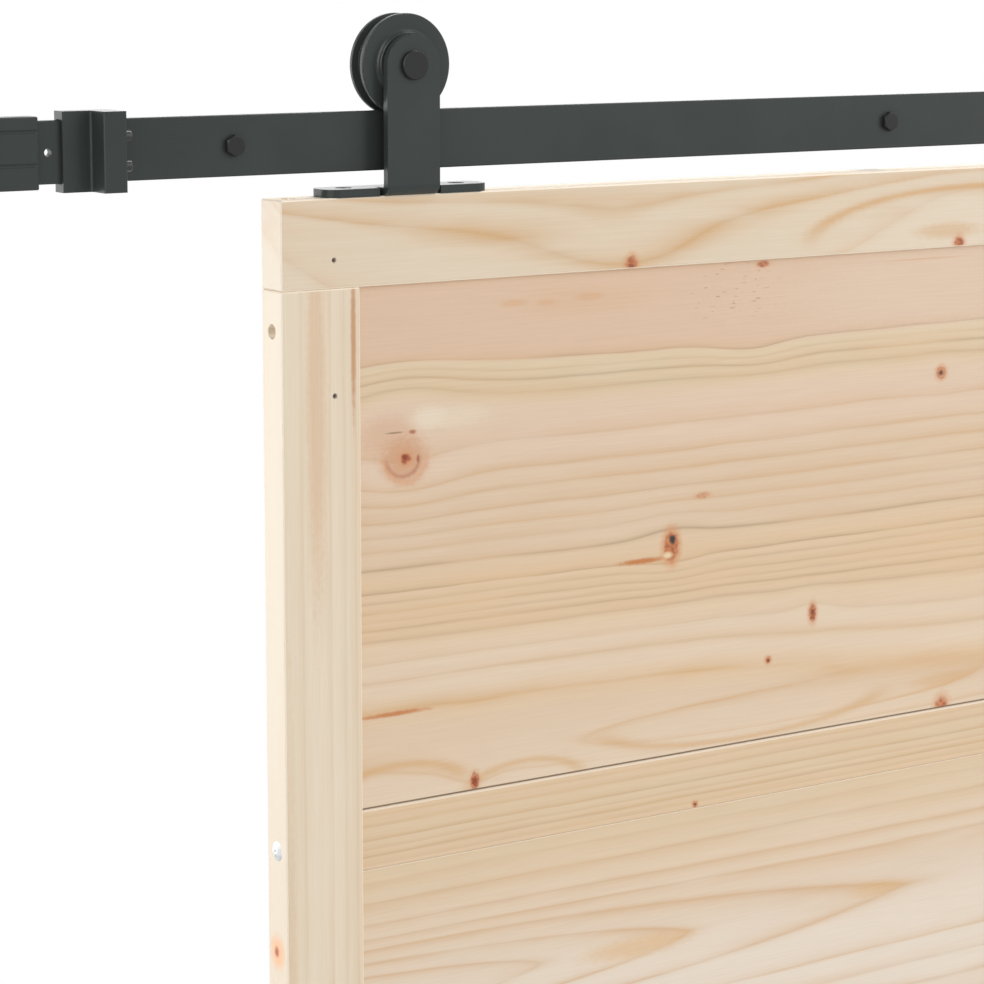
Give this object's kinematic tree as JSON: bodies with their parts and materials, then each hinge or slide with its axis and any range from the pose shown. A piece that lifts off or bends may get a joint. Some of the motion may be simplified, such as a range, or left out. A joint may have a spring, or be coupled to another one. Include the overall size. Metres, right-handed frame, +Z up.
{
  "type": "sliding barn door",
  "caption": "Framed pine barn door with recessed panels, hung by T-shaped roller hangers on a flat black wall rail with end stops.",
  "frame": {"origin": "middle of the row of wall bolts, on the wall plane", "axes": "+X along the rail to the right seen from the front, +Y into the wall, +Z up"},
  "size_m": [2.0054, 0.1032, 2.2209],
  "materials": {
    "black_steel": "satin powder coat",
    "black_plastic": "fine satin",
    "black_fastener": "black oxide",
    "black_rubber": "matte",
    "bright_steel": "zinc plated",
    "pine_across": "planed, grain across",
    "pine_upright": "planed, grain upright",
    "beech": "plain dowel"
  },
  "bodies": {
    "track": {"rail": "black_steel", "wall_spacers": "black_steel", "wall_bolts": "black_fastener", "end_cap_left": "black_plastic", "end_cap_right": "black_plastic", "stop_left": "black_steel", "stop_right": "black_steel", "stop_buffers_left": "black_rubber", "stop_buffers_right": "black_rubber", "stop_screws_left": "black_fastener", "stop_screws_right": "black_fastener"},
    "leaf": {"hanger_left": "black_steel", "hanger_right": "black_steel", "foot_screws_left": "black_fastener", "foot_screws_right": "black_fastener", "axle_left": "black_fastener", "axle_right": "black_fastener", "axle_nut_left": "black_fastener", "axle_nut_right": "black_fastener", "axle_sleeve_left": "bright_steel", "axle_sleeve_right": "bright_steel", "bearing_inner_left": "bright_steel", "bearing_inner_right": "bright_steel", "corner_bolts": "bright_steel", "barrel_nuts": "bright_steel", "frame_screws_left": "bright_steel", "frame_screws_right": "bright_steel", "top_rail": "pine_across", "bottom_rail": "pine_across", "cross_rail_1": "pine_across", "cross_rail_2": "pine_across", "cross_rail_3": "pine_across", "cross_rail_4": "pine_across", "panel_1": "pine_across", "panel_2": "pine_across", "panel_3": "pine_across", "panel_4": "pine_across", "panel_5": "pine_across", "stile_left": "pine_upright", "stile_right": "pine_upright", "corner_dowels": "beech"},
    "left_roller": {"wheel_left": "black_steel", "bearing_outer_left": "bright_steel", "bearing_balls_left": "bright_steel"},
    "right_roller": {"wheel_right": "black_steel", "bearing_outer_right": "bright_steel", "bearing_balls_right": "bright_steel"}
  },
  "joints": [
    {"name": "door_slide", "type": "slide", "parent": "track", "child": "leaf", "axis": [1, 0, 0], "range_m": [-0.1876, 0.7982]},
    {"name": "wheel_left_spin", "type": "hinge", "parent": "leaf", "child": "left_roller", "pos_m": [-0.7053, -0.028, 0.0501], "axis": [0, 1, 0], "continuous": true},
    {"name": "wheel_right_spin", "type": "hinge", "parent": "leaf", "child": "right_roller", "pos_m": [0.0947, -0.028, 0.0501], "axis": [0, 1, 0], "continuous": true}
  ],
  "couplings": [
    {"joint": "wheel_left_spin", "follows": "door_slide", "rad_per_m": 33.557},
    {"joint": "wheel_right_spin", "follows": "door_slide", "rad_per_m": 33.557}
  ]
}
